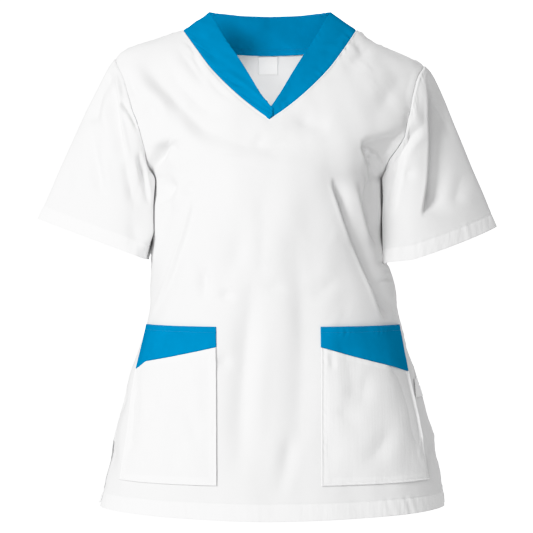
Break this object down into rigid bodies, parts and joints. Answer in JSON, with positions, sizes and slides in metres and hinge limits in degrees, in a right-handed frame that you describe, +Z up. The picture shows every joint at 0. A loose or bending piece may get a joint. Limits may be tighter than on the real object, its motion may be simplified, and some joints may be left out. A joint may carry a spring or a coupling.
{
  "type": "medical tunic",
  "caption": "Hollow short-sleeved white medical tunic, as worn, with a blue V-neck band and white patch pockets with blue tops.",
  "frame": {"origin": "on the shoulder line, midway between the two points where the shoulder seams meet the neck band", "axes": "+Z up, -Y towards the front of the tunic, +X towards the wearer's left"},
  "size_m": [0.6532, 0.2699, 0.7088],
  "materials": {
    "white_cloth": "matt white woven poly-cotton, soft with fine creases",
    "blue_cloth": "matt bright blue woven poly-cotton",
    "label_cloth": "smooth white woven ribbon, blank"
  },
  "bodies": {
    "root": {"front": "white_cloth", "back": "white_cloth", "sleeve_right": "white_cloth", "sleeve_left": "white_cloth", "neck_band": "blue_cloth", "pocket_right": "white_cloth", "pocket_top_right": "blue_cloth", "pocket_left": "white_cloth", "pocket_top_left": "blue_cloth", "neck_label": "label_cloth", "side_tag": "label_cloth"}
  },
  "joints": []
}
